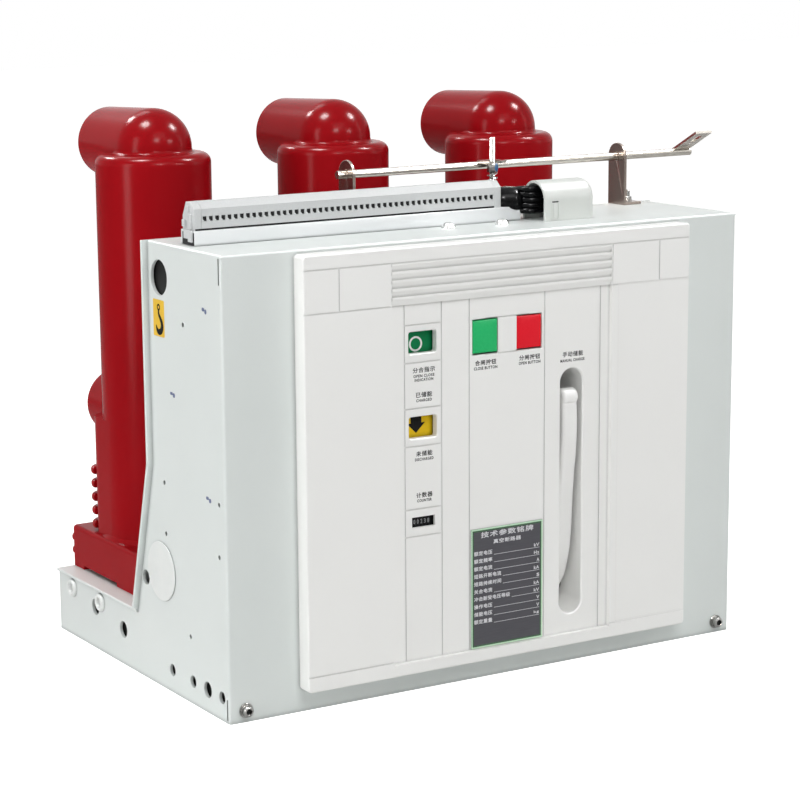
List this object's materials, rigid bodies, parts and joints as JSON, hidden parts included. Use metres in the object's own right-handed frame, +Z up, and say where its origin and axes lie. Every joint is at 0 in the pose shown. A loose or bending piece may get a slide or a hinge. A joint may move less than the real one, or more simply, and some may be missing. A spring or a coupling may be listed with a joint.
{
  "type": "vacuum circuit breaker",
  "caption": "Indoor medium-voltage vacuum circuit breaker: red resin poles with rear terminals behind a grey sheet-steel operating box with push buttons and charging lever.",
  "frame": {"origin": "on the floor, in the middle of the housing's footprint", "axes": "+X to the right seen from the front, +Y to the rear where the terminals point, +Z up"},
  "size_m": [0.6415, 0.421, 0.5475],
  "materials": {
    "sheet_paint": "satin powder coat",
    "plug_plastic": "moulded, smooth",
    "cover_plastic": "moulded, fine texture",
    "green_plastic": "moulded, semi-gloss",
    "red_plastic": "moulded, semi-gloss",
    "green_flag_paint": "printed",
    "yellow_flag_paint": "printed",
    "black_plastic": "moulded",
    "plate_print": "anodised and printed",
    "plated_steel": "zinc plated",
    "red_epoxy": "cast resin, glossy",
    "silvered_copper": "silver plated, satin",
    "rail_paint": "smooth paint",
    "strip_plastic": "moulded",
    "hood_plastic": "moulded",
    "lead_jacket": "matt jacket"
  },
  "bodies": {
    "breaker": {"left_side_plate": "sheet_paint", "right_side_plate": "sheet_paint", "left_hole_plug": "plug_plastic", "right_hole_plug": "plug_plastic", "front_plate": "sheet_paint", "top_plate": "sheet_paint", "rear_wall": "sheet_paint", "foot_plate": "sheet_paint", "floor_plate": "sheet_paint", "front_cover": "cover_plastic", "flag_guides": "plated_steel", "counter": "black_plastic", "rating_plate": "plate_print", "lever_pocket": "cover_plastic", "lever_pin": "plated_steel", "pole_left": "red_epoxy", "pole_centre": "red_epoxy", "pole_right": "red_epoxy", "upper_terminal_left": "silvered_copper", "upper_terminal_centre": "silvered_copper", "upper_terminal_right": "silvered_copper", "lower_terminal_left": "silvered_copper", "lower_terminal_centre": "silvered_copper", "lower_terminal_right": "silvered_copper", "terminal_rail": "rail_paint", "terminal_strip": "strip_plastic", "strip_end_stops": "strip_plastic", "cable_hood": "hood_plastic", "cable_bundle": "lead_jacket", "shaft_bracket_left": "plated_steel", "shaft_bracket_right": "plated_steel"},
    "close_button": {"close_button": "green_plastic"},
    "open_button": {"open_button": "red_plastic"},
    "charging_lever": {"charging_lever": "cover_plastic"},
    "state_flag": {"state_flag": "green_flag_paint"},
    "spring_flag": {"spring_flag": "yellow_flag_paint"},
    "interlock_shaft": {"interlock_shaft": "plated_steel"},
    "trip_rod": {"trip_rod": "plated_steel"}
  },
  "joints": [
    {"name": "close_button_push", "type": "slide", "parent": "breaker", "child": "close_button", "axis": [0, 1, 0], "range_m": [0, 0.004], "stiffness_N_per_m": 800, "springref_m": -0.002},
    {"name": "open_button_push", "type": "slide", "parent": "breaker", "child": "open_button", "axis": [0, 1, 0], "range_m": [0, 0.004], "stiffness_N_per_m": 800, "springref_m": -0.002},
    {"name": "charging_lever_swing", "type": "hinge", "parent": "breaker", "child": "charging_lever", "pos_m": [0.0831, -0.1595, 0.074], "axis": [1, 0, 0], "range_deg": [0, 60], "stiffness_Nm_per_rad": 1, "springref_deg": -34.38},
    {"name": "state_flag_slide", "type": "slide", "parent": "breaker", "child": "state_flag", "axis": [0, 0, -1], "range_m": [0, 0.024]},
    {"name": "spring_flag_slide", "type": "slide", "parent": "breaker", "child": "spring_flag", "axis": [0, 0, -1], "range_m": [0, 0.024]},
    {"name": "interlock_shaft_turn", "type": "hinge", "parent": "breaker", "child": "interlock_shaft", "pos_m": [0, -0.0545, 0.485], "axis": [1, 0, 0], "range_deg": [0, 20.5]},
    {"name": "trip_rod_slide", "type": "slide", "parent": "breaker", "child": "trip_rod", "axis": [0, 0, -1], "range_m": [0, 0.00628], "stiffness_N_per_m": 300, "springref_m": -0.006}
  ],
  "couplings": [
    {"joint": "interlock_shaft_turn", "follows": "trip_rod_slide", "rad_per_m": 55.5}
  ]
}
